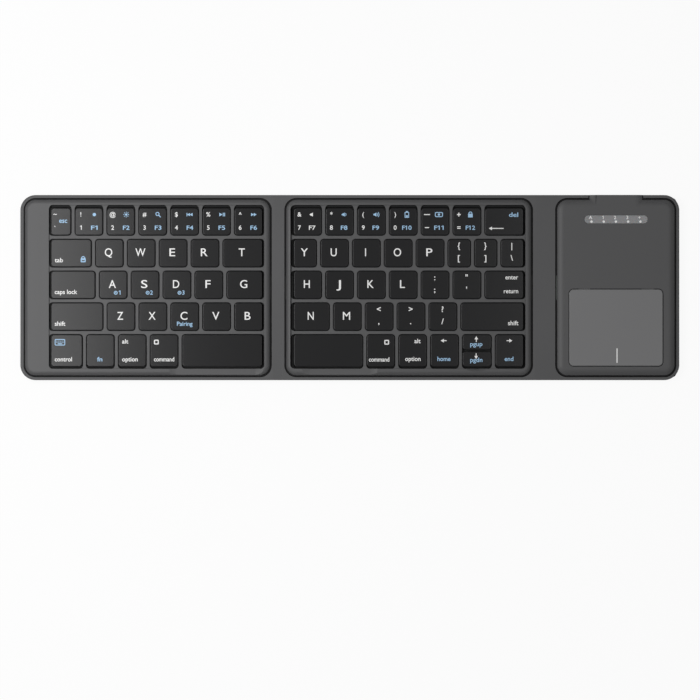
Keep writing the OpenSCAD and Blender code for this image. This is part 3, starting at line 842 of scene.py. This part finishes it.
def equals_sign(bm):
    bar(bm, 0, 0.4, 1.7, 0.42)
    bar(bm, 0, -0.4, 1.7, 0.42)


def square_icon(bm):
    outline_box(bm, 0, 0, 2.4, 2.4, 0.5, 0.55)


def arrow(length, turn):
    """An icon of an arrow that long, turned by that angle from +X."""

    def draw(bm):
        part = bmesh.new()
        wedge(part, length / 2 - 0.55, 0, 1.05, 0)
        bar(part, -0.4, 0, length - 0.8, 0.42)
        turned = Matrix.Rotation(math.radians(turn), 3, "Z")
        bmesh.ops.rotate(part, cent=(0, 0, 0), matrix=turned, verts=part.verts)
        carry(part, bm)

    return draw


def carry(part, bm):
    """Adds one bmesh to another and frees it."""
    mesh = bpy.data.meshes.new("print")
    part.to_mesh(mesh)
    part.free()
    bm.from_mesh(mesh)
    bpy.data.meshes.remove(mesh)


def lettering(text, weight):
    """Flat letters of the built-in font as a bmesh, with strokes made bolder by weight."""
    curve = bpy.data.curves.new("print", "FONT")
    curve.body = text
    curve.offset = weight
    curve.resolution_u = 5
    holder = bpy.data.objects.new("print", curve)
    bpy.context.scene.collection.objects.link(holder)
    bpy.context.view_layer.update()
    mesh = bpy.data.meshes.new_from_object(holder.evaluated_get(bpy.context.evaluated_depsgraph_get()))
    part = bmesh.new()
    part.from_mesh(mesh)
    bpy.data.objects.remove(holder)
    bpy.data.curves.remove(curve)
    bpy.data.meshes.remove(mesh)
    if "1" in text:
        flag_ones(part)
    return part


def flag_ones(part):
    """Gives each plain stem in the figures a short flag, so that it reads as a one."""
    stem_w, flag_w, flag_h, slope = 0.16, 0.25, 0.1, 38
    to_left, down = 0.06, 0.12
    for stem in islands(part):
        low, high = (f(v.co.x for v in stem) for f in (min, max))
        if high - low < stem_w:
            bar(part, low - to_left, max(v.co.y for v in stem) - down, flag_w, flag_h, slope)


def span(part):
    """The least and most x and y of a flat mesh."""
    xs = [v.co.x for v in part.verts]
    ys = [v.co.y for v in part.verts]
    return min(xs), max(xs), min(ys), max(ys)


capital = lettering("H", 0.0)
CAPITAL_H = span(capital)[3]
capital.free()

LETTER_H = 3.86
LETTER_WEIGHT = 0.006
WORD_H = 2.1
WORD_WEIGHT = 0.015


def stamp(bm, mark, x, y, z, w, d):
    """Prints one mark on a key with that centre, top, width and depth.

    A mark is (text or icon, ink, side, in from that side, up from the key's front, height, width). Side
    "column" centres it on a line that far in from the left. A text without a width keeps its own
    proportions, and an icon has its own size."""
    what, ink, side, inward, up, height, width = mark
    if callable(what):
        part = bmesh.new()
        what(part)
        grow = Matrix.Identity(4)
        anchor = 0.0
    else:
        part = lettering(what, LETTER_WEIGHT if height == LETTER_H else WORD_WEIGHT)
        x0, x1, _, _ = span(part)
        scale = height / CAPITAL_H
        across = width / (x1 - x0) if width else scale
        grow = Matrix.Diagonal((across, scale, 1, 1))
        middle = (x0 + x1) / 2
        anchor = {"left": x0, "column": middle, "centre": middle, "right": x1}[side] * across
    near = x - w / 2 + inward
    start = {"left": near, "column": near, "centre": x + inward, "right": x + w / 2 - inward}[side]
    bmesh.ops.transform(
        part, matrix=Matrix.Translation((start - anchor, y - d / 2 + up, z + INK)) @ grow, verts=part.verts
    )
    for face in part.faces:
        face.material_index = ink
        face.normal_update()
        if face.normal.z < 0:
            face.normal_flip()
    carry(part, bm)


def printing(name, body, marks):
    """All the marks on one body as one film of ink."""
    bm = bmesh.new()
    for mark, place in marks:
        stamp(bm, mark, *place)
    to_piece(bm, name, [white_ink, blue_ink], body)


# The width of each letter as a share of its height
LETTER_WIDTHS = dict(
    A=0.93, B=0.76, C=0.90, D=0.82, E=0.74, F=0.67, G=0.93, H=0.775, I=0.13, J=0.59, K=0.83, L=0.64, M=0.94,
    N=0.78, O=0.96, P=0.79, Q=0.97, R=0.87, S=0.82, T=0.79, U=0.78, V=0.92, W=1.29, X=0.91, Y=0.91, Z=0.78,
)


def sign(icon, side, inward, up, ink=WHITE):
    """A mark with an icon, which is drawn at its own size."""
    return (icon, ink, side, inward, up, None, None)


def word(text, side, up, inward=1.9, ink=WHITE, width=None):
    """A mark with a short word or a number."""
    return (text, ink, side, inward, up, WORD_H, width)


def letter(text):
    """The mark of a letter key."""
    return (text, WHITE, "centre", -0.4, 5.4, LETTER_H, LETTER_WIDTHS[text] * LETTER_H)


def number_key(shifted, digit, label, icon, ink=BLUE, shift=2.7):
    """The marks of a number key: its two characters at the left and its second use at the right."""
    return [
        word(shifted, "column", 10.3 if callable(shifted) else 9.35, 2.9),
        word(digit, "column", 3.8 if callable(digit) else 2.75, 2.9),
        (label, ink, "centre", shift, 2.75, 2.0, 3.3 if len(label) < 3 else 4.7),
        sign(icon, "centre", shift, 10.3, ink),
    ]


def device_key(text, number):
    """The marks of a letter key that also picks one of three linked devices."""
    return [
        letter(text),
        sign(link_icon, "centre", 1.3, 3.0, BLUE),
        (number, BLUE, "centre", 3.2, 2.1, 2.0, None),
    ]


def pair(upper, lower):
    """The marks of a key with two characters."""
    return [(upper, WHITE, "centre", -0.2, 9.3, 2.7, None), (lower, WHITE, "centre", -0.2, 3.2, 2.7, None)]


# The marks of each key in a node, in the order of key_places; a letter key left out here has its letter alone
LEGENDS = {
    "left_number_keys": [
        [
            word("~", "left", 9.6, 1.2),
            ("esc", BLUE, "centre", 1.1, 6.2, 2.3, 4.0),
            word("`", "left", 2.6, 1.6),
        ],
        number_key("!", "1", "F1", dot_icon),
        number_key("@", "2", "F2", sun_icon),
        number_key("#", "3", "F3", glass_icon),
        number_key("$", "4", "F4", back_icon),
        number_key("%", "5", "F5", play_icon),
        number_key("^", "6", "F6", next_icon),
    ],
    "left_side_keys": [
        [word("tab", "left", 2.4, width=4.1), sign(padlock_icon, "right", 4.1, 3.7, BLUE)],
        [word("caps lock", "left", 2.4, width=11.2)],
        [word("shift", "left", 2.4, width=5.3)],
        [word("control", "left", 2.7, width=8.6), sign(keyboard_icon, "left", 4.5, 12.2, BLUE)],
        [word("fn", "centre", 2.7, -0.3, BLUE, 2.6)],
        [word("alt", "left", 11.6, width=3.1), word("option", "left", 2.7, width=7.8)],
        [sign(square_icon, "left", 3.1, 12.3), word("command", "left", 2.7, width=10.1)],
    ],
    "middle_number_keys": [
        number_key("&", "7", "F7", speaker_icon, WHITE, 2.3),
        number_key("*", "8", "F8", quieter_icon, BLUE, 2.3),
        number_key("(", "9", "F9", louder_icon, BLUE, 2.2),
        number_key(")", "0", "F10", battery_icon, BLUE, 1.8),
        number_key(long_dash, short_dash, "F11", screen_icon, BLUE, 1.9),
        number_key(plus_sign, equals_sign, "F12", lock_icon, BLUE, 1.7),
        [word("del", "right", 9.2, 2.6, BLUE, 4.6), sign(arrow(6.9, 180), "left", 5.9, 3.4)],
    ],
    "middle_side_keys": [
        pair("{", "["),
        pair("}", "]"),
        pair("|", "\\"),
        pair(":", ";"),
        pair('"', "'"),
        [word("enter", "right", 9.7, 2.6, width=6.4), word("return", "right", 2.8, 2.6, width=7.2)],
        pair("<", ","),
        pair(">", "."),
        pair("?", "/"),
        [word("shift", "right", 2.7, 2.5, width=5.2)],
        [sign(arrow(2.4, 90), "centre", -0.3, 5.1), word("pgup", "centre", 1.9, -0.3, BLUE, 6.1)],
        [sign(square_icon, "right", 4.0, 12.2), word("command", "right", 2.6, 2.7, width=10.2)],
        [word("alt", "right", 11.8, 3.0, width=3.1), word("option", "right", 2.9, 3.0, width=7.7)],
        [sign(arrow(2.4, 180), "centre", -0.2, 13.0), word("home", "centre", 2.9, -0.3, BLUE, 6.5)],
        [sign(arrow(2.4, 0), "centre", -0.2, 13.0), word("end", "centre", 2.9, -0.2, BLUE, 4.4)],
        [sign(arrow(2.4, -90), "centre", -0.4, 5.5), word("pgdn", "centre", 2.4, -0.3, BLUE, 6.1)],
    ],
    "key_a": [device_key("A", "1")],
    "key_s": [device_key("S", "2")],
    "key_d": [device_key("D", "3")],
    "key_c": [[letter("C"), ("Pairing", BLUE, "centre", 0, 2.4, 2.0, 7.8)]],
    "left_space_bar": [[]],
    "right_space_bar": [[]],
}


def keys():
    """The caps of every key node and their print."""
    for body, nodes in frame["record"]["behaviour"]["bodies"].items():
        for node in nodes:
            if node.startswith("key_") or node.endswith(("_keys", "_space_bar")):
                moulded(node, node + "_caps", body, [keycap_abs])
                legends = LEGENDS.get(node) or [[letter(node[-1].upper())]]
                marks = [
                    (mark, place) for place, printed in zip(key_places(node), legends) for mark in printed
                ]
                if marks:
                    printing(node + "_print", body, marks)


def light_icon(bm):
    disc(bm, 0, 0, 0.6)


def window_print():
    """Five printed signs over the indicator lights, each with its light below it."""
    pitch, shift, spot = 6.1, -0.3, 2
    low, high = mm_box("indicator_window")
    x, y, z = (low.x + high.x) / 2, (low.y + high.y) / 2, high.z
    marks = []
    for i, label in enumerate(("A", "1", "2", "3", "+")):
        place = (x + pitch * (i - 2) + shift, y, z, spot, spot)
        marks.append(((label, WHITE, "centre", -0.2, 1.15, 1.6, None), place))
        marks.append((sign(light_icon, "centre", 0.25, -0.1), place))
    printing("indicator_print", "pad_panel", marks)


def touch_line():
    """The short printed line between the touchpad's two button halves."""
    line_w, line_d, shift, from_front = 0.55, 7.2, 0.5, 5.2
    low, high = mm_box("touchpad")
    bm = bmesh.new()
    bar(bm, (low.x + high.x) / 2 + shift, low.y + from_front, line_w, line_d)
    bmesh.ops.translate(bm, vec=(0, 0, high.z + INK), verts=bm.verts)
    to_piece(bm, "button_line", [white_ink], "touchpad")


# ---------------------------------------------------------------- carried-over solids


def dress(node, material):
    """Gives a CAD node its material."""
    for slot in frame["nodes"][node].material_slots:
        slot.material = material


INSIDES = {
    "left_tray": tray_plastic, "middle_tray": tray_plastic, "pad_tray": tray_plastic,
    "left_plate": steel, "middle_plate": steel,
    # The switch sheets are darkened as painted shade in the key gaps.
    "left_switches": domes_darkened_as_shade, "middle_switches": domes_darkened_as_shade,
    "left_ribbon": polyimide, "right_ribbon": polyimide, "magnets": nickel_magnet,
    "pad_board": solder_mask, "battery": pouch_foil, "indicator_window": window_pc,
}


# ---------------------------------------------------------------- studio


# The floor's half width in metres, how much of it shows plain white to the camera, and the room's light
FLOOR = 4.0
WHITE_SHARE = 0.92
ROOM_LIGHT = 0.17
# The picture's width, its middle and the height at which it is that wide, all in metres, and the lens and
# its sensor in millimetres
PICTURE_W = 0.350
PICTURE_X, PICTURE_Y, PICTURE_Z = 0.00009, -0.03116, 0.001
LENS, SENSOR = 200, 36


def paper_sweep():
    """White paper that shows nearly pure white to the camera, yet takes the shadow; clear from below."""
    paper = bpy.data.materials.new("white_paper_sweep")
    paper.use_nodes = True
    tree = paper.node_tree
    tree.nodes.clear()
    rays = add(tree, "ShaderNodeLightPath").outputs
    seen = rays["Is Camera Ray"]
    for other in (rays["Is Glossy Ray"], rays["Is Transmission Ray"]):
        seen = add(tree, "ShaderNodeMath", {"operation": "MAXIMUM"}, {0: seen, 1: other}).outputs[0]
    share = add(tree, "ShaderNodeMath", {"operation": "MULTIPLY", 1: WHITE_SHARE}, {0: seen}).outputs[0]
    white = add(tree, "ShaderNodeEmission", {"Color": linear("#ffffff"), "Strength": 1.0}).outputs[0]
    matt = add(tree, "ShaderNodeBsdfDiffuse", {"Color": linear("#f4f4f4")}).outputs[0]
    sweep = add(tree, "ShaderNodeMixShader", links={0: share, 1: matt, 2: white}).outputs[0]
    under = add(tree, "ShaderNodeNewGeometry").outputs["Backfacing"]
    clear = add(tree, "ShaderNodeBsdfTransparent").outputs[0]
    sided = add(tree, "ShaderNodeMixShader", links={0: under, 1: sweep, 2: clear}).outputs[0]
    add(tree, "ShaderNodeOutputMaterial", links={"Surface": sided})
    return paper


def floor_and_light():
    """The paper sweep under the keyboard, the room's soft light and two lamps."""
    scene = bpy.context.scene
    scene.view_settings.view_transform = "Standard"
    bm = bmesh.new()
    bmesh.ops.create_grid(bm, x_segments=1, y_segments=1, size=FLOOR / MM)
    bmesh.ops.translate(bm, vec=(0, 0, FLOOR_Z), verts=bm.verts)
    floor = to_piece(bm, "floor", [paper_sweep()])
    floor.visible_diffuse = False
    floor.visible_shadow = False

    world = bpy.data.worlds.new("studio")
    scene.world = world
    world.use_nodes = True
    tree = world.node_tree
    tree.nodes.clear()
    seen = add(tree, "ShaderNodeLightPath").outputs["Is Camera Ray"]
    room, page = (
        add(tree, "ShaderNodeBackground", {"Color": linear("#ffffff"), "Strength": strength}).outputs[0]
        for strength in (ROOM_LIGHT, 1.0)
    )
    both = add(tree, "ShaderNodeMixShader", links={0: seen, 1: room, 2: page}).outputs[0]
    add(tree, "ShaderNodeOutputWorld", links={"Surface": both})

    softbox("key_softbox", (-0.33, 0.03, 0.52), 0.34, 0.5, 2.7)
    softbox("fill_softbox", (0.32, 0.0, 0.75), 0.34, 0.5, 0.85)


def softbox(name, at, w, h, power):
    """A rectangular lamp that hangs level and shines straight down."""
    light = bpy.data.lights.new(name, "AREA")
    light.shape = "RECTANGLE"
    light.size, light.size_y = w, h
    light.energy = power
    lamp = bpy.data.objects.new(name, light)
    bpy.context.scene.collection.objects.link(lamp)
    lamp.location = at
    lamp.visible_camera = False


def camera():
    """The camera, straight above a place a little in front of the keyboard's middle."""
    data = bpy.data.cameras.new("camera")
    data.lens, data.sensor_width = LENS, SENSOR
    lens = bpy.data.objects.new("camera", data)
    bpy.context.scene.collection.objects.link(lens)
    lens.location = (PICTURE_X, PICTURE_Y, PICTURE_Z + PICTURE_W * LENS / SENSOR)
    bpy.context.scene.camera = lens


camera()
wallet()
linings()
# The walls of the bezels and the housing take the black of painted shade.
for panel, scoop in (("left", LEFT_SCOOP), ("middle", MIDDLE_SCOOP)):
    moulded(
        panel + "_bezel", panel + "_key_bezel", panel + "_panel", [bezel_paint, painted_shade_walls],
        WEB_Z - WEB_SKIP, MOULDED_R, scoop,
    )
# The housing's paint is a shade lighter as painted light.
moulded(
    "pad_housing", "touchpad_housing", "pad_panel", [housing_paint, painted_shade_walls], FOLD_Z, MOULDED_R,
)
moulded("touchpad", "touchpad_sheet", "touchpad", [touch_sheet])
moulded("usb_socket", "charging_socket_shell", "pad_panel", [nickel_shell])
for node, material in INSIDES.items():
    dress(node, material)
keys()
window_print()
touch_line()
floor_and_light()
